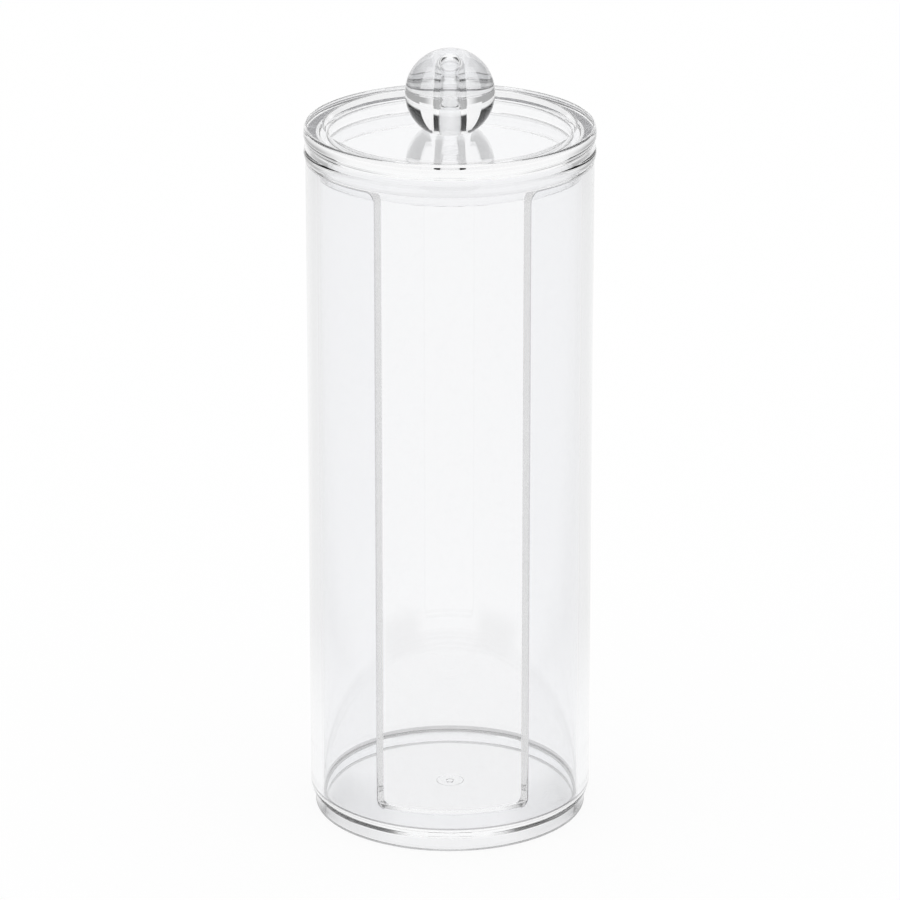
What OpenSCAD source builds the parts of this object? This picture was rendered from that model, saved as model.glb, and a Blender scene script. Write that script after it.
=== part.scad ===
// Clear cotton pad holder: a moulded tube with a full-height front slot, a plug lid and a ball knob.
// The slot faces -Y. The origin is on the tube's axis, at the surface that the foot stands on.

/* [Tube] */
// Outside diameter of the tube
body_od = 70; // [60:0.5:90]
// Height of the tube's top edge above the surface it stands on
body_h = 169; // [90:1:260]
// Thickness of the tube's wall
wall_t = 3; // [2:0.1:4]
// Rounding of the tube's top edge, inside and outside
top_edge_r = 0.5; // [0.2:0.05:0.9]

/* [Foot and floor] */
// Thickness of the floor plate
floor_t = 2; // [1.5:0.1:4]
// Depth of the recess under the floor, inside the foot ring
recess_depth = 3.2; // [2:0.1:6]
// Height of the foot's upright side
foot_h = 3.4; // [1.5:0.1:6]
// How far the foot stands in from the tube's outside
foot_inset = 1.2; // [0.6:0.1:2]
// Width of the ring that the holder stands on
foot_ring_w = 2.4; // [1.6:0.1:5]
// Radius of the curve from the foot up to the tube's side
corner_r = 4; // [2.5:0.1:8]
// Rounding of the foot's lower edge
foot_edge_r = 0.4; // [0.2:0.05:0.7]
// Fillet between the floor and the inside of the tube
floor_fillet = 0.8; // [0.3:0.1:2]

/* [Slot] */
// Width of the slot across the outside edges of the tube
slot_w = 36.8; // [24:0.2:44]
// Height of the sill above the floor
sill_h = 5.4; // [4:0.1:30]
// Rounding of the wall's top corners beside the slot
slot_top_r = 3.2; // [1:0.1:6]
// Rounding of the slot's two lower corners
slot_bottom_r = 2; // [0.6:0.1:3]

/* [Lid] */
// Height of the lid's rim above the tube's top edge
rim_h = 8.2; // [7:0.1:14]
// How far the lid's disc lies below the top of the rim
lip_h = 1.25; // [0.8:0.05:2]
// Thickness of the lid's disc
disc_t = 2.5; // [1.5:0.1:3.5]
// How far the upper bead stands proud of the tube's outside
upper_bead_proud = 0.5; // [0.3:0.05:1]
// How far the lower bead stands proud of the tube's outside
lower_bead_proud = 0.45; // [0.25:0.05:1]
// How far the bottom of the groove stands proud of the tube's outside
groove_proud = 0.05; // [0:0.05:0.2]
// Height of the lower bead
lower_bead_h = 3; // [2:0.1:3.5]
// Height of the groove between the beads
groove_h = 1.3; // [0.8:0.1:2]
// Rounding of the rim's upper edges
rim_edge_r = 0.8; // [0.3:0.05:1]
// How far the plug reaches down into the tube
plug_depth = 3.1; // [2:0.1:12]
// Thickness of the plug's ring
plug_t = 2; // [1.2:0.1:3]
// Bevel on the plug's lower outside edge
plug_bevel = 0.5; // [0.2:0.05:0.8]
// Clearance between the plug and the inside of the tube
plug_fit = 0.3; // [0.2:0.05:0.8]

/* [Knob] */
// Diameter of the ball knob
knob_d = 21.8; // [16:0.2:32]
// Diameter of the flat that the ball stands on
knob_flat_d = 12.6; // [9:0.2:15]
// Diameter of the lid's post inside the ball
post_d = 5.2; // [3:0.1:6]
// Height of the post above the lid's disc
post_h = 7; // [4:0.1:9]
// Bevel on the top of the post
post_bevel = 0.6; // [0.2:0.1:1]
// Clearance between the post and the ball's blind hole
post_fit = 0.1; // [0.05:0.05:0.3]
// Thickness of the ball above the domed end of its blind hole
hole_cap = 3.5; // [2:0.1:5]

/* [Hidden] */

$fn = 180;
arc_steps = 8;   // straight pieces in a rounded edge
reach = 1;       // how far a cutter passes the surface it opens
clear_tint = [0.9, 0.93, 0.96, 0.35];
lid_tint = [0.84, 0.89, 0.94, 0.45];
knob_tint = [0.75, 0.8, 0.87, 0.6];

body_r = body_od / 2;
bore_r = body_r - wall_t;
floor_z = recess_depth + floor_t;
foot_r = body_r - foot_inset;
recess_r = foot_r - foot_ring_w;
corner_turn = acos(1 - foot_inset / corner_r);
corner_z = foot_h + corner_r * sin(corner_turn);

sill_z = floor_z + sill_h;
slot_edge_y = sqrt(body_r * body_r - slot_w * slot_w / 4);
slot_near = slot_edge_y - 2 * wall_t;
slot_far = body_r + reach;

rim_z = body_h + rim_h;
disc_z = rim_z - lip_h;
disc_under_z = disc_z - disc_t;
upper_bead_r = body_r + upper_bead_proud;
lower_bead_r = body_r + lower_bead_proud;
groove_r = body_r + groove_proud;
groove_z = body_h + lower_bead_h;
upper_bead_z = groove_z + groove_h;
lower_crown_r = crown_r(lower_bead_r - groove_r, lower_bead_h);
lower_lean = asin(lower_bead_h / 2 / lower_crown_r);
upper_bead_h = rim_z - upper_bead_z;
upper_crown_r = crown_r(upper_bead_r - groove_r, upper_bead_h);
upper_lean = asin(upper_bead_h / 2 / upper_crown_r);
rim_lean = asin((upper_bead_h / 2 - rim_edge_r) / (upper_crown_r - rim_edge_r));
rim_edge_x = upper_bead_r - upper_crown_r + (upper_crown_r - rim_edge_r) * cos(rim_lean);
plug_r = bore_r - plug_fit;
plug_bore_r = plug_r - plug_t;
plug_z = body_h - plug_depth;
plug_edge_r = plug_bevel / 2;
lip_slope = lip_h / 2;

knob_r = knob_d / 2;
knob_flat_r = knob_flat_d / 2;
knob_z = disc_z + sqrt(knob_r * knob_r - knob_flat_r * knob_flat_r);
post_r = post_d / 2;
post_top_z = disc_z + post_h;
hole_r = post_r + post_fit;
hole_dome_z = knob_z + knob_r - hole_cap - hole_r;

// Points of an arc about [x, y], from angle a0 to angle a1, where left_out of the first ones are dropped
function arc(x, y, r, a0, a1, left_out = 0) = [
    for (i = [left_out:arc_steps])
        let (a = a0 + (a1 - a0) * i / arc_steps)
            [x + r * cos(a), y + r * sin(a)]
];

// Radius of the arc that crowns a bead, from how far it stands out and how tall it is
function crown_r(proud, tall) = (tall * tall / 4 + proud * proud) / (2 * proud);

// The half section of the tube, floor and foot, as [radius, height]
module body_section() {
    polygon(concat(
        [[recess_r, 0]],
        arc(foot_r - foot_edge_r, foot_edge_r, foot_edge_r, -90, 0),
        arc(body_r - corner_r, corner_z, corner_r, -corner_turn, 0),
        arc(body_r - top_edge_r, body_h - top_edge_r, top_edge_r, 0, 90),
        arc(bore_r + top_edge_r, body_h - top_edge_r, top_edge_r, 90, 180),
        arc(bore_r - floor_fillet, floor_z + floor_fillet, floor_fillet, 0, -90),
        [[0, floor_z], [0, recess_depth], [recess_r, recess_depth]]
    ));
}

// The slot's outline seen from the front, as [x, height], at the tube's outside edges
module slot_outline() {
    half_w = slot_w / 2;
    low_x = half_w - slot_bottom_r;
    low_z = sill_z + slot_bottom_r;
    high_x = half_w + slot_top_r;
    high_z = body_h - slot_top_r;
    polygon(concat(
        arc(-low_x, low_z, slot_bottom_r, 180, 270),
        arc(low_x, low_z, slot_bottom_r, 270, 360),
        arc(high_x, high_z, slot_top_r, 180, 90),
        [[high_x, body_h + reach], [-high_x, body_h + reach]],
        arc(-high_x, high_z, slot_top_r, 90, 0)
    ));
}

// The space cut out of the wall: it widens away from the axis, so that the slot's two long faces are radial
module slot_opening() {
    widening = slot_far / slot_near;
    rotate([90, 0, 0])
        translate([0, 0, slot_near])
            linear_extrude(height = slot_far - slot_near, scale = [widening, 1], slices = 1, $fn = 0)
                scale([slot_near / slot_edge_y, 1]) slot_outline();
}

// The tube with its floor, foot ring and front slot, moulded as one piece
module body() {
    color(clear_tint)
        difference() {
            rotate_extrude() body_section();
            slot_opening();
        }
}

// The half section of the lid, with its plug, beads, rim and post, as [radius, height]
module lid_section() {
    polygon(concat(
        [[0, disc_under_z], [plug_bore_r, disc_under_z]],
        arc(plug_bore_r + plug_edge_r, plug_z + plug_edge_r, plug_edge_r, 180, 270),
        [[plug_r - plug_bevel, plug_z], [plug_r, plug_z + plug_bevel], [plug_r, body_h]],
        arc(lower_bead_r - lower_crown_r, body_h + lower_bead_h / 2, lower_crown_r, -lower_lean, lower_lean),
        arc(upper_bead_r - upper_crown_r, (upper_bead_z + rim_z) / 2, upper_crown_r, -upper_lean, rim_lean),
        arc(rim_edge_x, rim_z - rim_edge_r, rim_edge_r, rim_lean, 90, 1),
        arc(plug_bore_r + 2 * lip_slope, rim_z - lip_slope, lip_slope, 90, 180),
        [[plug_bore_r + lip_slope / 2, disc_z], [post_r, disc_z]],
        [[post_r, post_top_z - post_bevel], [post_r - post_bevel, post_top_z], [0, post_top_z]]
    ));
}

// The lid with its raised rim, plug ring and centre post, moulded as one piece
module lid() {
    color(lid_tint) rotate_extrude() lid_section();
}

// The ball knob, flat underneath, with a blind hole that drops over the lid's post
module knob() {
    color(knob_tint)
        difference() {
            translate([0, 0, knob_z]) sphere(r = knob_r);
            translate([0, 0, disc_z - knob_d]) cylinder(h = knob_d, r = knob_d);
            translate([0, 0, disc_z - reach]) cylinder(h = hole_dome_z - disc_z + reach, r = hole_r);
            translate([0, 0, hole_dome_z]) sphere(r = hole_r);
        }
}

body();
lid();
knob();
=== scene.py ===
"""Clear cotton pad holder: its moulded tube, plug lid and ball knob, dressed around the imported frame.

Lengths are in metres, heights are above the surface that the holder stands on, and angles round the tube are
measured from the middle of the slot, which faces -Y.
"""

import logging
import math
from collections.abc import Iterable
from dataclasses import dataclass, field
from enum import Enum

import bpy
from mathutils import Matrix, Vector

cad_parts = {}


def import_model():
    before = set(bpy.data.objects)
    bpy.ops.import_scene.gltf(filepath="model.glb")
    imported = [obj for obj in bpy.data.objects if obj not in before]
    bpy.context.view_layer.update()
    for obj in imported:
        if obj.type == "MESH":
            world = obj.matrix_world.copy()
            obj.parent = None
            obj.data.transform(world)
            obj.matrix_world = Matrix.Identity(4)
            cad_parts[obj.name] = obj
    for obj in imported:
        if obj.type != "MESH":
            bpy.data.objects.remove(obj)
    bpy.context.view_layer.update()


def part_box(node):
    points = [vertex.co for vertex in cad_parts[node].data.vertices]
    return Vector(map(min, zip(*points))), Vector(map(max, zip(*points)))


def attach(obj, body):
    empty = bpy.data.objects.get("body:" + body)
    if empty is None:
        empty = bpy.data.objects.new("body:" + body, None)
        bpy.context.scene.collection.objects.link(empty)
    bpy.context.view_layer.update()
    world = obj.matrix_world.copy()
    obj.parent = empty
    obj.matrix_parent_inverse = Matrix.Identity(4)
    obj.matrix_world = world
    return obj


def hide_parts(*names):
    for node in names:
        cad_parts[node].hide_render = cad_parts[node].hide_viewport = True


MM = 0.001
TINY = 1e-9
CORNER_SCALE = 1e8
NEARLY_UP = 0.99
PHOTO_SIDE_PX = 900
SENSOR_MM = 36.0
MOST_GLOSSY = 4
MOST_STEPS = 12

log = logging.getLogger("pad_holder")

Point = tuple[float, float]
Normal = tuple[float, float, float]
Place = tuple[float, float, float]
RimPoint = tuple[float, float, Point]


class Turn(Enum):
    """Which way an arc of a section is read."""

    OUTSIDE = 1
    INSIDE = -1


class Body(Enum):
    """The moving bodies that the pieces ride on."""

    HOLDER = "holder"
    LID = "lid"


def direction(angle: float) -> Point:
    """Unit vector in the ground plane at an angle from the middle of the slot, positive towards +X."""
    return math.sin(angle), -math.cos(angle)


def unit(x: float, y: float, z: float) -> Normal:
    """The vector scaled to length one."""
    length = math.sqrt(x * x + y * y + z * z) or 1.0
    return x / length, y / length, z / length


@dataclass
class Section:
    """A half section in [radius, height], kept as facets that know the true normal at each of their ends.

    Attributes:
        facets: (start, start normal, end, end normal), in the order in which the outline is walked.
        here: the point that the outline has reached.
    """

    facets: list[tuple[Point, Point, Point, Point]] = field(default_factory=list)
    here: Point = (0.0, 0.0)

    def start(self, radius: float, height: float) -> "Section":
        """Puts the outline's first point down."""
        self.here = (radius, height)
        return self

    def line(self, radius: float, height: float) -> "Section":
        """Walks straight to a point, with the solid on the left hand side."""
        run, rise = radius - self.here[0], height - self.here[1]
        length = math.hypot(run, rise)
        if length > TINY:
            normal = (rise / length, -run / length)
            self.facets.append((self.here, normal, (radius, height), normal))
            self.here = (radius, height)
        return self

    def arc(self, centre: Point, radius: float, turn_from: float, turn_to: float, turn: Turn,
            steps: int) -> "Section":
        """Walks an arc, after a straight run to its first point.

        Args:
            centre: centre of the arc.
            radius: radius of the arc.
            turn_from: first angle, in degrees from +radius towards +height.
            turn_to: last angle, in degrees.
            turn: OUTSIDE where the solid bulges, INSIDE for a fillet in a corner.
            steps: how many facets the arc has.

        Returns:
            The section itself.
        """
        spots = []
        for i in range(steps + 1):
            a = math.radians(turn_from + (turn_to - turn_from) * i / steps)
            ray = (math.cos(a), math.sin(a))
            spots.append(((centre[0] + radius * ray[0], centre[1] + radius * ray[1]),
                          (ray[0] * turn.value, ray[1] * turn.value)))
        self.line(*spots[0][0])
        for (start, start_normal), (end, end_normal) in zip(spots, spots[1:]):
            self.facets.append((start, start_normal, end, end_normal))
        self.here = spots[-1][0]
        return self


@dataclass
class MeshDraft:
    """Collects corners and faces with their own shading normals, and makes one mesh object of them.

    Attributes:
        corners: the places of the corners.
        faces: the corners' numbers, face by face.
        normals: a shading normal for each corner of each face.
        known: the number of the corner at each place so far.
        finishes: the number of each face's material.
        finish: the number that the next faces get.
    """

    corners: list[Place] = field(default_factory=list)
    faces: list[list[int]] = field(default_factory=list)
    normals: list[Normal] = field(default_factory=list)
    known: dict[tuple[int, int, int], int] = field(default_factory=dict)
    finishes: list[int] = field(default_factory=list)
    finish: int = 0

    def corner(self, place: Place) -> int:
        """The number of the corner at a place, which is made if it is new."""
        x, y, z = place
        key = (round(x * CORNER_SCALE), round(y * CORNER_SCALE), round(z * CORNER_SCALE))
        if key not in self.known:
            self.known[key] = len(self.corners)
            self.corners.append(place)
        return self.known[key]

    def face(self, places: Iterable[Place], normals: Iterable[Normal]) -> None:
        """Adds a face, without the corners that fall together."""
        loop: list[tuple[int, Normal]] = []
        for place, normal in zip(places, normals):
            number = self.corner(place)
            if not loop or (loop[-1][0] != number and loop[0][0] != number):
                loop.append((number, normal))
        if len(loop) > 2:
            self.faces.append([number for number, _ in loop])
            self.finishes.append(self.finish)
            self.normals.extend(normal for _, normal in loop)

    def piece(self, name: str) -> bpy.types.Object:
        """The finished object, linked to the scene and shaded by its own normals."""
        mesh = bpy.data.meshes.new(name)
        mesh.from_pydata(self.corners, [], self.faces)
        mesh.polygons.foreach_set("use_smooth", [True] * len(mesh.polygons))
        mesh.polygons.foreach_set("material_index", self.finishes)
        mesh.normals_split_custom_set(self.normals)
        mesh.update()
        made = bpy.data.objects.new(name, mesh)
        bpy.context.scene.collection.objects.link(made)
        return made


def spun_place(spot: Point, angle: float) -> Place:
    """Where a section's point lies at an angle round the axis."""
    x, y = direction(angle)
    return spot[0] * x, spot[0] * y, spot[1]


def spun_normal(normal: Point, angle: float) -> Normal:
    """A section's normal at an angle round the axis."""
    x, y = direction(angle)
    return unit(normal[0] * x, normal[0] * y, normal[1])


def spin(draft: MeshDraft, section: Section, angles: list[float]) -> None:
    """Turns a section round the axis.

    Args:
        draft: the mesh that takes the faces.
        section: the section, walked with the solid on its left.
        angles: the columns' angles in rising order, the last one turn after the first.
    """
    for start, start_normal, end, end_normal in section.facets:
        for a, b in zip(angles, angles[1:]):
            draft.face(
                (spun_place(start, a), spun_place(start, b), spun_place(end, b), spun_place(end, a)),
                (spun_normal(start_normal, a), spun_normal(start_normal, b),
                 spun_normal(end_normal, b), spun_normal(end_normal, a)),
            )


def even_angles(count: int) -> list[float]:
    """Angles that divide one full turn evenly, with the first one repeated at the end."""
    return [2 * math.pi * i / count for i in range(count + 1)]


@dataclass
class Tube:
    """The tube with its floor, stepped foot and front slot, in one piece.

    The outside radius and the height come from the frame. The rest repeats the part's own sizes.
    """

    radius: float
    height: float
    wall: float = 3.0 * MM
    floor: float = 2.0 * MM
    recess: float = 3.2 * MM
    foot_height: float = 3.4 * MM
    foot_inset: float = 1.2 * MM
    foot_ring: float = 2.4 * MM
    foot_corner: float = 4.0 * MM
    foot_edge: float = 0.4 * MM
    floor_fillet: float = 0.8 * MM
    slot_width: float = 36.8 * MM
    sill: float = 5.4 * MM
    slot_top: float = 3.2 * MM
    slot_bottom: float = 2.0 * MM
    edge: float = 0.45 * MM
    recess_edge: float = 0.3 * MM
    gate_edge: float = 0.18 * MM
    gate_nub: float = 0.9 * MM
    gate_nub_drop: float = 0.3 * MM
    gate_ring: float = 3.4 * MM
    gate_ring_depth: float = 0.22 * MM
    columns: int = 200
    arc_steps: int = 10
    sill_steps: int = 36

    @property
    def bore(self) -> float:
        """Inside radius of the tube."""
        return self.radius - self.wall

    @property
    def floor_top(self) -> float:
        """Height of the floor that the pads lie on."""
        return self.recess + self.floor

    @property
    def corner_height(self) -> float:
        """Height at which the foot's curve has become the upright side."""
        drop = self.foot_corner - self.foot_inset
        return self.foot_height + math.sqrt(self.foot_corner ** 2 - drop ** 2)

    def rim_curve(self, depth: float) -> list[RimPoint]:
        """The wall's upper edge, all the way round, moved into the material.

        Args:
            depth: how far the curve lies inside the edge.

        Returns:
            For each point its angle round the axis, its height, and the way out of the material as
            (along the wall, up). It starts in the middle of the sill and rises, turn by turn, to a full turn.
        """
        edge_y = math.sqrt(self.radius ** 2 - self.slot_width ** 2 / 4)
        half = self.slot_width / 2
        low = (half - self.slot_bottom, self.floor_top + self.sill + self.slot_bottom)
        high = (half + self.slot_top, self.height - self.slot_top)
        flat: list[RimPoint] = []
        for i in range(self.sill_steps):
            flat.append((low[0] * i / self.sill_steps, low[1] - self.slot_bottom - depth, (0.0, 1.0)))
        for i in range(self.arc_steps + 1):
            a = math.radians(-90 + 90 * i / self.arc_steps)
            ray = (math.cos(a), math.sin(a))
            reach = self.slot_bottom + depth
            flat.append((low[0] + reach * ray[0], low[1] + reach * ray[1], (-ray[0], -ray[1])))
        for i in range(self.arc_steps + 1):
            a = math.radians(180 - 90 * i / self.arc_steps)
            ray = (math.cos(a), math.sin(a))
            reach = self.slot_top - depth
            flat.append((high[0] + reach * ray[0], high[1] + reach * ray[1], ray))
        right = [(math.atan2(x, edge_y), z, out) for x, z, out in flat]
        last = right[-1][0]
        back = [(last + (math.pi - last) * i / self.columns, self.height - depth, (0.0, 1.0))
                for i in range(1, self.columns + 1)]
        right += back
        left = [(2 * math.pi - angle, z, (-out[0], out[1])) for angle, z, out in reversed(right[:-1])]
        return right + left

    def rim_strip(self, draft: MeshDraft) -> None:
        """The rounded edge that joins the wall's outside to its inside, along the slot and the top."""
        rows = []
        for centre, first, last in ((self.radius - self.edge, 0, 90), (self.bore + self.edge, 90, 180)):
            for i in range(self.arc_steps + 1):
                a = math.radians(first + (last - first) * i / self.arc_steps)
                curve = self.rim_curve(self.edge - self.edge * math.sin(a))
                rows.append((centre + self.edge * math.cos(a), math.cos(a), math.sin(a), curve))
        for (r0, c0, s0, curve0), (r1, c1, s1, curve1) in zip(rows, rows[1:]):
            for k in range(len(curve0) - 1):
                spots = ((r0, c0, s0, curve0[k]), (r0, c0, s0, curve0[k + 1]),
                         (r1, c1, s1, curve1[k + 1]), (r1, c1, s1, curve1[k]))
                # The rounded edges along the slot's sides and the top get the second material, whose grey is
                # painted shade; the sill's flat top keeps the clear one.
                upward = min(curve0[k][2][1], curve0[k + 1][2][1]) > NEARLY_UP
                on_sill = upward and curve0[k][1] < self.height / 2
                draft.finish = 0 if on_sill else 1
                draft.face([spun_place((r, at[1]), at[0]) for r, _, _, at in spots],
                           [self.rim_normal(c, s, at) for _, c, s, at in spots])

    @staticmethod
    def rim_normal(radial: float, outward: float, at: RimPoint) -> Normal:
        """The normal on the rounded edge, from its radial share and its share out of the edge."""
        angle, _, out = at
        x, y = direction(angle)
        along = (math.cos(angle), math.sin(angle))
        return unit(radial * x + outward * out[0] * along[0], radial * y + outward * out[0] * along[1],
                    outward * out[1])

    def wall_sheet(self, draft: MeshDraft, curve: list[RimPoint], radius: float, base: float,
                   outside: bool) -> None:
        """One face of the upright wall, from a level ring up to the rim's curve.

        Args:
            draft: the mesh that takes the faces.
            curve: the rim's curve, where the wall's rounded edge begins.
            radius: radius of the face.
            base: height of the level ring.
            outside: whether the face looks away from the axis.
        """
        sign = 1.0 if outside else -1.0
        side: list[tuple[float, float]] = []
        for (a0, z0, _), (a1, z1, _) in zip(curve, curve[1:]):
            if abs(a1 - a0) < TINY:
                side.append((a0, z0))
                continue
            spots = [(a0, base), (a1, base), (a1, z1), (a0, z0), *reversed(side)]
            side = []
            if not outside:
                spots.reverse()
            draft.face([spun_place((radius, z), a) for a, z in spots],
                       [spun_normal((sign, 0.0), a) for a, _ in spots])

    def gate_mark(self) -> Section:
        """The start of the underside: the small nub and ring that the mould's inlet leaves in the middle."""
        soft = self.gate_edge
        low = self.recess - self.gate_nub_drop
        high = self.recess + self.gate_ring_depth
        steps = self.arc_steps // 2
        section = Section().start(0.0, low)
        section.arc((self.gate_nub - soft, low + soft), soft, -90, 0, Turn.OUTSIDE, steps)
        section.arc((self.gate_nub + soft, high - soft), soft, 180, 90, Turn.INSIDE, steps)
        section.arc((self.gate_ring - soft, high - soft), soft, 90, 0, Turn.INSIDE, steps)
        section.line(self.gate_ring, self.recess)
        return section

    def fillet_section(self) -> Section:
        """The fillet between the inside of the wall and the floor."""
        centre = (self.bore - self.floor_fillet, self.floor_top + self.floor_fillet)
        section = Section().start(self.bore, centre[1])
        return section.arc(centre, self.floor_fillet, 0, -90, Turn.INSIDE, self.arc_steps)

    def base_section(self) -> Section:
        """The section below the wall: foot curve, foot, recess and floor."""
        foot = self.radius - self.foot_inset
        recess = foot - self.foot_ring
        turn = math.degrees(math.acos(1 - self.foot_inset / self.foot_corner))
        inner = self.recess_edge
        outer = self.foot_edge
        bend = self.foot_corner
        steps = self.arc_steps
        section = Section().start(self.bore - self.floor_fillet, self.floor_top)
        section.line(0.0, self.floor_top)
        under = self.gate_mark()
        under.line(recess - inner, self.recess)
        under.arc((recess - inner, self.recess - inner), inner, 90, 0, Turn.INSIDE, steps)
        under.arc((recess + inner, inner), inner, 180, 270, Turn.OUTSIDE, steps)
        under.arc((foot - outer, outer), outer, -90, 0, Turn.OUTSIDE, steps)
        under.arc((self.radius - bend, self.corner_height), bend, -turn, 0, Turn.OUTSIDE, steps)
        section.facets += under.facets
        return section

    def build(self) -> bpy.types.Object:
        """Makes the tube as one closed mesh."""
        draft = MeshDraft()
        curve = self.rim_curve(self.edge)
        angles = sorted({round(angle, 12): angle for angle, _, _ in curve}.values())
        self.wall_sheet(draft, curve, self.radius, self.corner_height, True)
        self.wall_sheet(draft, curve, self.bore, self.floor_top + self.floor_fillet, False)
        spin(draft, self.base_section(), angles)
        # The floor fillet takes the grey second material too: painted shade along the foot of the inside wall.
        draft.finish = 1
        spin(draft, self.fillet_section(), angles)
        self.rim_strip(draft)
        return draft.piece("moulded_tube")


@dataclass
class Lid:
    """The lid: disc, raised rim with two beads and a groove, plug ring and centre post.

    The outside radius, the seat's height on the tube and the height of the plug's end come from the frame.
    """

    radius: float
    seat: float
    bottom: float
    rim_height: float = 8.2 * MM
    lip: float = 1.25 * MM
    disc: float = 2.5 * MM
    disc_fillet: float = 0.4 * MM
    lower_bead_inset: float = 0.05 * MM
    groove_inset: float = 0.45 * MM
    lower_bead: float = 3.0 * MM
    groove: float = 1.3 * MM
    rim_edge: float = 0.8 * MM
    plug_radius: float = 31.7 * MM
    plug_ring: float = 2.0 * MM
    plug_bevel: float = 0.5 * MM
    post_radius: float = 2.6 * MM
    post_height: float = 7.0 * MM
    post_bevel: float = 0.6 * MM
    columns: int = 256
    arc_steps: int = 8

    @property
    def disc_top(self) -> float:
        """Height of the disc that the knob stands on."""
        return self.seat + self.rim_height - self.lip

    @staticmethod
    def crown(outer: float, inner: float, tall: float) -> tuple[float, float, float]:
        """The arc of a crowned bead.

        Args:
            outer: the bead's largest radius.
            inner: its radius at the top and bottom.
            tall: its height.

        Returns:
            The arc's centre radius, its own radius and half its angle in degrees.
        """
        proud = outer - inner
        reach = (tall * tall / 4 + proud * proud) / (2 * proud)
        return outer - reach, reach, math.degrees(math.asin(tall / 2 / reach))

    def section(self) -> Section:
        """The lid's half section, walked from under the disc outwards and back over the top."""
        plug_bore = self.plug_radius - self.plug_ring
        under = self.disc_top - self.disc
        rim = self.seat + self.rim_height
        ring_edge = self.plug_bevel / 2
        lower = self.radius - self.lower_bead_inset
        groove = self.radius - self.groove_inset
        groove_low = self.seat + self.lower_bead
        groove_high = groove_low + self.groove
        slope = self.lip / 2
        fillet = self.disc_fillet
        bevel = self.plug_bevel
        post_top = self.disc_top + self.post_height
        n = self.arc_steps
        section = Section().start(0.0, under)
        section.arc((plug_bore - fillet, under - fillet), fillet, 90, 0, Turn.INSIDE, n)
        section.arc((plug_bore + ring_edge, self.bottom + ring_edge), ring_edge, 180, 270, Turn.OUTSIDE, n)
        section.arc((self.plug_radius - bevel, self.bottom + bevel), bevel, -90, 0, Turn.OUTSIDE, n)
        section.line(self.plug_radius, self.seat)
        centre, reach, lean = self.crown(lower, groove, self.lower_bead)
        section.arc((centre, self.seat + self.lower_bead / 2), reach, -lean, lean, Turn.OUTSIDE, 2 * n)
        section.line(groove, groove_low)
        section.line(groove, groove_high)
        centre, reach, lean = self.crown(self.radius, groove, rim - groove_high)
        middle = (groove_high + rim) / 2
        turn = math.asin((rim - self.rim_edge - middle) / (reach - self.rim_edge))
        section.arc((centre, middle), reach, -lean, math.degrees(turn), Turn.OUTSIDE, 2 * n)
        edge = centre + (reach - self.rim_edge) * math.cos(turn)
        section.arc((edge, rim - self.rim_edge), self.rim_edge, math.degrees(turn), 90, Turn.OUTSIDE, n)
        section.arc((plug_bore + 2 * slope, rim - slope), slope, 90, 180, Turn.OUTSIDE, n)
        section.line(plug_bore + slope / 2, self.disc_top)
        section.line(self.post_radius, self.disc_top)
        section.arc((self.post_radius - self.post_bevel, post_top - self.post_bevel), self.post_bevel, 0, 90,
                    Turn.OUTSIDE, n)
        section.line(0.0, post_top)
        return section

    def build(self) -> bpy.types.Object:
        """Makes the lid as one closed mesh."""
        draft = MeshDraft()
        spin(draft, self.section(), even_angles(self.columns))
        return draft.piece("moulded_lid")


@dataclass
class Knob:
    """The clear ball, cut flat underneath, with a domed blind hole that drops over the lid's post."""

    flat_height: float
    top: float
    radius: float = 10.9 * MM
    hole_radius: float = 2.7 * MM
    hole_cap: float = 3.5 * MM
    edge: float = 0.35 * MM
    columns: int = 192
    arc_steps: int = 96
    hole_steps: int = 24
    edge_steps: int = 8

    def section(self) -> Section:
        """The half section, walked from the hole's dome down, out along the flat and up the outside."""
        centre = self.top - self.radius
        drop = centre - self.flat_height
        inner = self.radius - self.edge
        turn = -math.asin((drop - self.edge) / inner)
        low = math.degrees(turn)
        dome = self.top - self.hole_cap - self.hole_radius
        mouth = (self.hole_radius + self.edge, self.flat_height + self.edge)
        corner = (inner * math.cos(turn), centre + inner * math.sin(turn))
        section = Section().start(0.0, dome + self.hole_radius)
        section.arc((0.0, dome), self.hole_radius, 90, 0, Turn.INSIDE, self.hole_steps)
        section.arc(mouth, self.edge, 180, 270, Turn.OUTSIDE, self.edge_steps)
        section.arc(corner, self.edge, -90, low, Turn.OUTSIDE, self.edge_steps)
        section.arc((0.0, centre), self.radius, low, 90, Turn.OUTSIDE, self.arc_steps)
        return section

    def build(self) -> bpy.types.Object:
        """Makes the ball as one closed mesh."""
        draft = MeshDraft()
        spin(draft, self.section(), even_angles(self.columns))
        return draft.piece("ball_knob")


def node(tree: bpy.types.NodeTree, kind: str, **values: object) -> bpy.types.Node:
    """Adds a shader node and sets its properties, and its inputs where the name is one."""
    made = tree.nodes.new(kind)
    for name, value in values.items():
        words = name.replace("_", " ")
        socket = next((s for s in made.inputs if s.name.lower() == words), None)
        if socket is not None:
            socket.default_value = value
        else:
            setattr(made, name, value)
    return made


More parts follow.
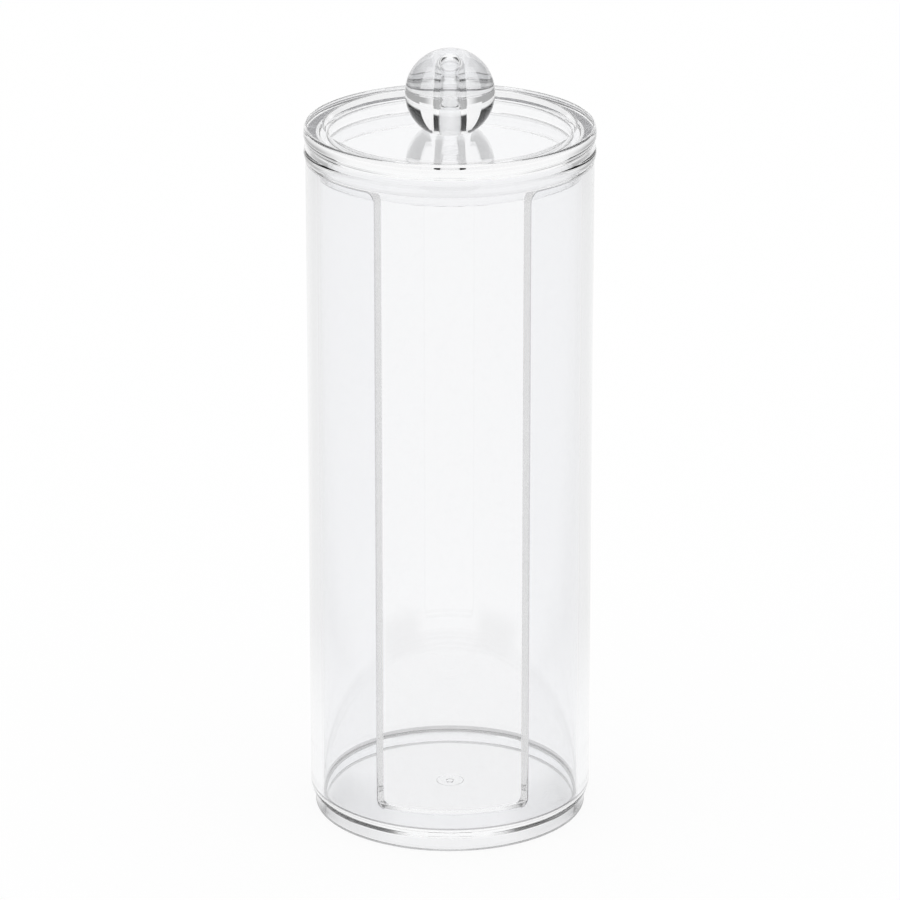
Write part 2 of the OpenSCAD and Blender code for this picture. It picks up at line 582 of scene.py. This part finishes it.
@dataclass
class MouldedSurface:
    """The shared effect of a moulded, handled plastic surface: slow waves, fine flow marks and faint haze.

    Attributes:
        name: the node group's name.
        stretch: size of the slow waves along the tube, less than 1 for waves that are longer upright.
        flow_share: share of the flow marks in the height.
        haze_from: noise level at which the haze begins.
        haze_full: noise level at which it is full.
    """

    name: str = "moulded_surface"
    stretch: float = 0.22
    flow_share: float = 0.12
    haze_from: float = 0.52
    haze_full: float = 0.78

    def group(self) -> bpy.types.NodeTree:
        """The node group, built on its first use.

        Returns:
            A group with the inputs Vector, Wave Size, Flow Size, Roughness and Haze and the outputs Height,
            Roughness and Mask.
        """
        if self.name in bpy.data.node_groups:
            return bpy.data.node_groups[self.name]
        tree = bpy.data.node_groups.new(self.name, "ShaderNodeTree")
        tree.interface.new_socket("Vector", in_out="INPUT", socket_type="NodeSocketVector")
        for name, value in (("Wave Size", 60.0), ("Flow Size", 260.0), ("Roughness", 0.01), ("Haze", 0.03)):
            socket = tree.interface.new_socket(name, in_out="INPUT", socket_type="NodeSocketFloat")
            socket.default_value = value
        for name in ("Height", "Roughness", "Mask"):
            tree.interface.new_socket(name, in_out="OUTPUT", socket_type="NodeSocketFloat")
        given = tree.nodes.new("NodeGroupInput")
        result = tree.nodes.new("NodeGroupOutput")
        link = tree.links.new
        stretched = node(tree, "ShaderNodeVectorMath", operation="MULTIPLY")
        stretched.inputs[1].default_value = (1.0, 1.0, self.stretch)
        link(given.outputs["Vector"], stretched.inputs[0])
        wave = node(tree, "ShaderNodeTexNoise", detail=1.0)
        flow = node(tree, "ShaderNodeTexNoise", detail=3.0)
        link(stretched.outputs[0], wave.inputs["Vector"])
        link(given.outputs["Wave Size"], wave.inputs["Scale"])
        link(given.outputs["Vector"], flow.inputs["Vector"])
        link(given.outputs["Flow Size"], flow.inputs["Scale"])
        height = node(tree, "ShaderNodeMath", operation="MULTIPLY_ADD")
        height.inputs[1].default_value = self.flow_share
        link(flow.outputs["Fac"], height.inputs[0])
        link(wave.outputs["Fac"], height.inputs[2])
        link(height.outputs[0], result.inputs["Height"])
        haze = node(tree, "ShaderNodeMapRange")
        haze.inputs["From Min"].default_value = self.haze_from
        haze.inputs["From Max"].default_value = self.haze_full
        link(flow.outputs["Fac"], haze.inputs["Value"])
        link(haze.outputs["Result"], result.inputs["Mask"])
        rough = node(tree, "ShaderNodeMath", operation="MULTIPLY_ADD")
        link(haze.outputs["Result"], rough.inputs[0])
        link(given.outputs["Haze"], rough.inputs[1])
        link(given.outputs["Roughness"], rough.inputs[2])
        link(rough.outputs[0], result.inputs["Roughness"])
        return tree


@dataclass(frozen=True)
class ClearPlastic:
    """Water-clear polished polystyrene.

    Attributes:
        name: the material's name.
        tint: colour that light keeps on its way through a wall.
        worn_tint: colour where the haze is thickest.
        wave_size: how many slow waves there are to a metre.
        flow_size: how many fine flow marks there are to a metre.
        wave_depth: how deep the waves and marks read in the surface.
        wave_strength: how much of them the surface shows.
        roughness: roughness of the clean polish.
        haze: what the haze adds to it.
        ior: how strongly the plastic bends light.
    """

    name: str
    tint: tuple[float, float, float] = (0.985, 0.987, 0.992)
    worn_tint: tuple[float, float, float] = (0.965, 0.968, 0.975)
    wave_size: float = 55.0
    flow_size: float = 420.0
    wave_depth: float = 0.05 * MM
    wave_strength: float = 0.05
    roughness: float = 0.0
    haze: float = 0.03
    ior: float = 1.57

    def material(self) -> bpy.types.Material:
        """The material, built on its first use."""
        if self.name in bpy.data.materials:
            return bpy.data.materials[self.name]
        made = bpy.data.materials.new(self.name)
        made.use_nodes = True
        tree = made.node_tree
        shader = tree.nodes["Principled BSDF"]
        shader.inputs["Metallic"].default_value = 0.0
        shader.inputs["Transmission Weight"].default_value = 1.0
        shader.inputs["IOR"].default_value = self.ior
        link = tree.links.new
        where = tree.nodes.new("ShaderNodeTexCoord")
        surface = tree.nodes.new("ShaderNodeGroup")
        surface.node_tree = MouldedSurface().group()
        surface.inputs["Wave Size"].default_value = self.wave_size
        surface.inputs["Flow Size"].default_value = self.flow_size
        surface.inputs["Roughness"].default_value = self.roughness
        surface.inputs["Haze"].default_value = self.haze
        link(where.outputs["Object"], surface.inputs["Vector"])
        link(surface.outputs["Roughness"], shader.inputs["Roughness"])
        colour = tree.nodes.new("ShaderNodeMix")
        colour.data_type = "RGBA"
        colour.inputs["A"].default_value = (*self.tint, 1.0)
        colour.inputs["B"].default_value = (*self.worn_tint, 1.0)
        link(surface.outputs["Mask"], colour.inputs["Factor"])
        link(colour.outputs["Result"], shader.inputs["Base Color"])
        bump = tree.nodes.new("ShaderNodeBump")
        bump.inputs["Strength"].default_value = self.wave_strength
        bump.inputs["Distance"].default_value = self.wave_depth
        link(surface.outputs["Height"], bump.inputs["Height"])
        link(bump.outputs["Normal"], shader.inputs["Normal"])
        link(self.still_inside(tree), shader.inputs["Alpha"])
        return made

    @staticmethod
    def still_inside(tree: bpy.types.NodeTree) -> bpy.types.NodeSocket:
        """Solid for nearly every ray, and open for one that the renderer is about to drop.

        Light that is led along inside a real wall comes out in the end. Without this, each such ray would
        turn black when its bounces are used up, and the slot's edges and the foot would show black lines.

        Args:
            tree: the material's node tree.

        Returns:
            A value for Alpha, 1 until the last bounce that is left and 0 from there on.
        """
        path = tree.nodes.new("ShaderNodeLightPath")
        solid: bpy.types.NodeSocket | None = None
        limits = {"Glossy Depth": MOST_GLOSSY, "Transmission Depth": MOST_STEPS, "Ray Depth": MOST_STEPS}
        for name, most in limits.items():
            under = node(tree, "ShaderNodeMath", operation="LESS_THAN")
            under.inputs[1].default_value = most - 0.5
            tree.links.new(path.outputs[name], under.inputs[0])
            if solid is None:
                solid = under.outputs[0]
                continue
            both = node(tree, "ShaderNodeMath", operation="MULTIPLY")
            tree.links.new(solid, both.inputs[0])
            tree.links.new(under.outputs[0], both.inputs[1])
            solid = both.outputs[0]
        return solid


TUBE_PLASTIC = ClearPlastic("clear_tube_plastic", tint=(0.968, 0.971, 0.98), worn_tint=(0.95, 0.953, 0.963))
# Grey copy of the clear plastic: painted shade standing in for the dark lines that light led along inside the
# wall shows at its edges.
EDGE_SHADE_PLASTIC = ClearPlastic("edge_plastic_painted_shade", tint=(0.55, 0.55, 0.56), worn_tint=(0.5, 0.5, 0.51))
LID_PLASTIC = ClearPlastic("clear_lid_plastic")
KNOB_PLASTIC = ClearPlastic("clear_knob_plastic")


@dataclass
class Studio:
    """The white table, the sheet and card behind it in a dim room, the soft boxes and the camera.

    Clear plastic shows only what stands round it. Its pale walls come from the table and the sheet, and its
    thin dark lines from the dim room beside them, from painted shade on the table round the foot, and from the
    grey edge material, which is painted shade on the tube's edges and floor fillet. Turns are in degrees from
    straight behind the holder.
    """

    # Camera
    camera_reach: float = 1.25
    camera_height: float = 0.5482
    camera_pitch: float = 20.0
    camera_turn: float = 1.2
    focal_px: float = 5390.0
    clip_near: float = 0.05
    clip_far: float = 30.0

    # White sheet and horizon in the dim room
    sheet_turn: float = 20.0
    sheet_turn_soft: float = 2.5
    sheet_top: float = 62.0
    sheet_top_soft: float = 6.0
    horizon_top: float = 6.0
    horizon_soft: float = 2.0
    sheet_level: float = 1.0
    room_level: float = 0.02

    # Table, white near the holder and behind it, and dimmer far out at the sides
    floor_radius: float = 8.0
    floor_columns: int = 96
    table_near: float = 0.06
    table_near_end: float = 0.16
    table_beside: float = 0.5
    table_beside_end: float = 0.8
    table_turn: float = 23.0
    table_soft: float = 7.0
    table_white: float = 0.97
    table_side: float = 0.86
    table_far: float = 0.4
    shadow_share: float = 0.08

    # Shade under the foot's ring, and in front of the foot's two sides
    ring_inside: float = 0.0313
    ring_outside: float = 0.0342
    ring_sharp: float = 0.0001
    ring_level: float = 0.55
    side_from: float = 100.0
    side_to: float = 145.0
    side_soft: float = 10.0
    side_full: float = 0.055
    side_end: float = 0.075
    side_level: float = 0.2

    # Card behind the lid, with the strip that folds over it
    card_radius: float = 0.15
    card_low: float = 0.172
    card_high: float = 0.3
    card_turn: float = 33.0
    card_strip: float = 0.06
    card_steps: int = 24

    # Soft boxes
    lamp_side: float = 0.3
    lamp_aim: float = 0.1
    left_place: Place = (-0.75, -0.7, 1.3)
    left_power: float = 0.35
    right_place: Place = (0.8, -0.6, 1.3)
    right_power: float = 0.3

    def camera(self) -> bpy.types.Object:
        """Makes the camera that the photograph's view is seen from."""
        data = bpy.data.cameras.new("photo_camera")
        data.sensor_width = SENSOR_MM
        data.lens = self.focal_px / PHOTO_SIDE_PX * SENSOR_MM
        data.clip_start = self.clip_near
        data.clip_end = self.clip_far
        made = bpy.data.objects.new("photo_camera", data)
        bpy.context.scene.collection.objects.link(made)
        turn = math.radians(self.camera_turn)
        made.location = (-self.camera_reach * math.sin(turn), -self.camera_reach * math.cos(turn),
                         self.camera_height)
        made.rotation_euler = (math.radians(90.0 - self.camera_pitch), 0.0, -turn)
        bpy.context.scene.camera = made
        return made

    @staticmethod
    def chosen(tree: bpy.types.NodeTree, names: tuple[str, ...]) -> bpy.types.NodeSocket:
        """A value that is 1 for the kinds of ray that are named, and 0 for the rest."""
        path = tree.nodes.new("ShaderNodeLightPath")
        total = path.outputs[names[0]]
        for name in names[1:]:
            larger = node(tree, "ShaderNodeMath", operation="MAXIMUM")
            tree.links.new(total, larger.inputs[0])
            tree.links.new(path.outputs[name], larger.inputs[1])
            total = larger.outputs[0]
        return total

    @staticmethod
    def fade(tree: bpy.types.NodeTree, value: bpy.types.NodeSocket, first: float, last: float,
             start: float, end: float) -> bpy.types.NodeSocket:
        """Turns a value softly from start, where it is first or less, to end, where it is last or more."""
        ramp = node(tree, "ShaderNodeMapRange", interpolation_type="SMOOTHSTEP")
        for name, number in (("From Min", first), ("From Max", last), ("To Min", start), ("To Max", end)):
            ramp.inputs[name].default_value = number
        tree.links.new(value, ramp.inputs["Value"])
        return ramp.outputs["Result"]

    def edge(self, tree: bpy.types.NodeTree, value: bpy.types.NodeSocket, at: float,
             soft: float) -> bpy.types.NodeSocket:
        """1 where a value is under its edge and 0 over it, with a soft step between."""
        return self.fade(tree, value, at - soft, at + soft, 1.0, 0.0)

    def under(self, tree: bpy.types.NodeTree, rise: bpy.types.NodeSocket, top: float,
              soft: float) -> bpy.types.NodeSocket:
        """1 for directions that rise less than top, in degrees, and 0 for the steeper ones."""
        low, high = math.sin(math.radians(top - soft)), math.sin(math.radians(top + soft))
        return self.fade(tree, rise, low, high, 1.0, 0.0)

    @staticmethod
    def joined(tree: bpy.types.NodeTree, operation: str, first: bpy.types.NodeSocket,
               second: bpy.types.NodeSocket) -> bpy.types.NodeSocket:
        """The result of a sum on two values."""
        made = node(tree, "ShaderNodeMath", operation=operation)
        tree.links.new(first, made.inputs[0])
        tree.links.new(second, made.inputs[1])
        return made.outputs[0]

    @staticmethod
    def picked(tree: bpy.types.NodeTree, factor: bpy.types.NodeSocket, off: "float | bpy.types.NodeSocket",
               on: "float | bpy.types.NodeSocket") -> bpy.types.NodeSocket:
        """The value off where the factor is 0, and on where it is 1."""
        mix = tree.nodes.new("ShaderNodeMix")
        tree.links.new(factor, mix.inputs["Factor"])
        for name, value in (("A", off), ("B", on)):
            if isinstance(value, float):
                mix.inputs[name].default_value = value
            else:
                tree.links.new(value, mix.inputs[name])
        return mix.outputs["Result"]

    def turned(self, tree: bpy.types.NodeTree, east: bpy.types.NodeSocket,
               north: bpy.types.NodeSocket) -> bpy.types.NodeSocket:
        """How far a direction in the ground plane is turned from straight behind the holder, in radians."""
        turn = self.joined(tree, "ARCTAN2", east, north)
        size = node(tree, "ShaderNodeMath", operation="ABSOLUTE")
        tree.links.new(turn, size.inputs[0])
        return size.outputs[0]

    def world(self) -> None:
        """White to the camera and as the light, and a white sheet in a dim room where the plastic shows it.

        The sheet rises behind the table. A white band lies along the horizon all the way round.
        """
        world = bpy.data.worlds.new("room_with_sheet")
        bpy.context.scene.world = world
        world.use_nodes = True
        tree = world.node_tree
        background = tree.nodes["Background"]
        background.inputs["Color"].default_value = (1.0, 1.0, 1.0, 1.0)
        where = tree.nodes.new("ShaderNodeTexCoord")
        split = tree.nodes.new("ShaderNodeSeparateXYZ")
        tree.links.new(where.outputs["Generated"], split.inputs[0])
        turn = self.turned(tree, split.outputs["X"], split.outputs["Y"])
        behind = self.edge(tree, turn, math.radians(self.sheet_turn), math.radians(self.sheet_turn_soft))
        under = self.under(tree, split.outputs["Z"], self.sheet_top, self.sheet_top_soft)
        sheet = self.joined(tree, "MULTIPLY", behind, under)
        horizon = self.under(tree, split.outputs["Z"], self.horizon_top, self.horizon_soft)
        white = self.joined(tree, "MAXIMUM", sheet, horizon)
        shown = self.picked(tree, white, self.room_level, self.sheet_level)
        plastic = self.chosen(tree, ("Is Glossy Ray", "Is Transmission Ray"))
        level = self.picked(tree, plastic, 1.0, shown)
        camera = self.chosen(tree, ("Is Camera Ray",))
        tree.links.new(self.picked(tree, camera, level, 1.0), background.inputs["Strength"])

    def foot_shade(self, tree: bpy.types.NodeTree, turn: bpy.types.NodeSocket,
                   away: bpy.types.NodeSocket) -> bpy.types.NodeSocket:
        """The table's share of light near the foot: less under its ring and less in front of both its sides.

        Args:
            tree: the table's node tree.
            turn: how far a place is turned from straight behind the holder, in radians.
            away: how far it is from the axis.

        Returns:
            A factor for the table's level, 1 inside the ring and far from the foot.
        """
        first = math.radians(self.side_from)
        last = math.radians(self.side_to)
        soft = math.radians(self.side_soft)
        after = self.fade(tree, turn, first - soft, first + soft, 0.0, 1.0)
        before = self.edge(tree, turn, last, soft)
        close = self.fade(tree, away, self.side_full, self.side_end, 1.0, 0.0)
        side = self.joined(tree, "MULTIPLY", self.joined(tree, "MULTIPLY", after, before), close)
        beside = self.picked(tree, side, 1.0, self.side_level)
        ring = self.edge(tree, away, self.ring_outside, self.ring_sharp)
        ringed = self.picked(tree, ring, beside, self.ring_level)
        recess = self.edge(tree, away, self.ring_inside, self.ring_sharp)
        return self.joined(tree, "MAXIMUM", recess, ringed)

    def floor(self) -> bpy.types.Object:
        """The table top: white, keeping a faint shadow, and dim far out at the sides."""
        section = Section().start(self.floor_radius, 0.0).line(0.0, 0.0)
        draft = MeshDraft()
        spin(draft, section, even_angles(self.floor_columns))
        made = draft.piece("table_top")
        material = bpy.data.materials.new("white_table")
        material.use_nodes = True
        tree = material.node_tree
        tree.nodes.remove(tree.nodes["Principled BSDF"])
        matt = node(tree, "ShaderNodeBsdfDiffuse")
        matt.inputs["Color"].default_value = (self.table_white, self.table_white, self.table_white, 1.0)
        glow = node(tree, "ShaderNodeEmission")
        spot = tree.nodes.new("ShaderNodeNewGeometry")
        split = tree.nodes.new("ShaderNodeSeparateXYZ")
        tree.links.new(spot.outputs["Position"], split.inputs[0])
        turn = self.turned(tree, split.outputs["X"], split.outputs["Y"])
        length = node(tree, "ShaderNodeVectorMath", operation="LENGTH")
        tree.links.new(spot.outputs["Position"], length.inputs[0])
        away = length.outputs["Value"]
        behind = self.edge(tree, turn, math.radians(self.table_turn), math.radians(self.table_soft))
        beside = self.fade(tree, away, self.table_beside, self.table_beside_end, self.table_side,
                           self.table_far)
        near = self.fade(tree, away, self.table_near, self.table_near_end, 1.0, 0.0)
        white = self.joined(tree, "MAXIMUM", behind, near)
        open_table = self.picked(tree, white, beside, self.table_white)
        shown = self.joined(tree, "MULTIPLY", open_table, self.foot_shade(tree, turn, away))
        camera = self.chosen(tree, ("Is Camera Ray",))
        tree.links.new(self.picked(tree, camera, shown, 1.0), glow.inputs["Strength"])
        seen = self.chosen(tree, ("Is Camera Ray", "Is Glossy Ray", "Is Transmission Ray"))
        share = self.picked(tree, seen, 0.0, 1.0 - self.shadow_share)
        mix = tree.nodes.new("ShaderNodeMixShader")
        tree.links.new(share, mix.inputs["Fac"])
        tree.links.new(matt.outputs[0], mix.inputs[1])
        tree.links.new(glow.outputs[0], mix.inputs[2])
        tree.links.new(mix.outputs[0], tree.nodes["Material Output"].inputs["Surface"])
        made.data.materials.append(material)
        return made

    def card(self) -> bpy.types.Object:
        """The small white card that stands behind the lid and folds over it, seen only in the plastic."""
        draft = MeshDraft()
        low, high = self.card_low, self.card_high
        shares = [2.0 * i / self.card_steps - 1.0 for i in range(self.card_steps + 1)]
        turns = [math.pi + math.radians(self.card_turn * share) for share in shares]
        for a, b in zip(turns, turns[1:]):
            corners = ((a, low), (b, low), (b, high), (a, high))
            draft.face([spun_place((self.card_radius, z), turn) for turn, z in corners],
                       [spun_normal((-1.0, 0.0), turn) for turn, _ in corners])
        wide, deep = self.card_strip, self.card_radius
        strip = ((-wide, -deep), (wide, -deep), (wide, deep), (-wide, deep))
        draft.face([(x, y, high) for x, y in strip], [(0.0, 0.0, -1.0)] * len(strip))
        made = draft.piece("white_card")
        material = bpy.data.materials.new("white_card")
        material.use_nodes = True
        tree = material.node_tree
        tree.nodes.remove(tree.nodes["Principled BSDF"])
        glow = node(tree, "ShaderNodeEmission", strength=self.sheet_level)
        clear = node(tree, "ShaderNodeBsdfTransparent")
        mix = tree.nodes.new("ShaderNodeMixShader")
        tree.links.new(self.chosen(tree, ("Is Glossy Ray", "Is Transmission Ray")), mix.inputs["Fac"])
        tree.links.new(clear.outputs[0], mix.inputs[1])
        tree.links.new(glow.outputs[0], mix.inputs[2])
        tree.links.new(mix.outputs[0], tree.nodes["Material Output"].inputs["Surface"])
        made.data.materials.append(material)
        return made

    def lamp(self, name: str, place: Place, power: float) -> None:
        """A square soft box that looks at the middle of the holder."""
        data = bpy.data.lights.new(name, "AREA")
        data.shape = "SQUARE"
        data.size = self.lamp_side
        data.energy = power
        made = bpy.data.objects.new(name, data)
        bpy.context.scene.collection.objects.link(made)
        made.location = place
        aim = Vector((0.0, 0.0, self.lamp_aim)) - Vector(place)
        made.rotation_euler = aim.to_track_quat("-Z", "Y").to_euler()

    def build(self) -> None:
        """Sets up everything that isn't the holder."""
        self.camera()
        self.world()
        self.floor()
        self.card()
        self.lamp("soft_box_left", self.left_place, self.left_power)
        self.lamp("soft_box_right", self.right_place, self.right_power)


def add_piece(made: bpy.types.Object, finishes: tuple[ClearPlastic, ...], body: Body, stands_for: str) -> None:
    """Dresses a piece and ties it to the frame.

    Args:
        made: the piece.
        finishes: its materials, in the order in which its faces name them.
        body: the body that it rides on.
        stands_for: the frame's node that it replaces.
    """
    for finish in finishes:
        made.data.materials.append(finish.material())
    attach(made, body.value)
    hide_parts(stands_for)
    log.info("%s: %d faces, rides on %s", made.name, len(made.data.polygons), body.value)


def main() -> None:
    """Builds the studio and the three pieces."""
    logging.basicConfig(level=logging.INFO, format="%(name)s %(message)s")
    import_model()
    scene = bpy.context.scene
    scene.view_settings.view_transform = "Standard"
    Studio().build()
    _, tube_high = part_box("body")
    lid_low, lid_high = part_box("lid")
    _, knob_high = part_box("knob")
    tube = Tube(radius=tube_high.x, height=tube_high.z)
    add_piece(tube.build(), (TUBE_PLASTIC, EDGE_SHADE_PLASTIC), Body.HOLDER, "body")
    lid = Lid(radius=lid_high.x, seat=tube_high.z, bottom=lid_low.z)
    add_piece(lid.build(), (LID_PLASTIC,), Body.LID, "lid")
    knob = Knob(flat_height=lid.disc_top, top=knob_high.z)
    add_piece(knob.build(), (KNOB_PLASTIC,), Body.LID, "knob")


if __name__ == "__main__":
    main()
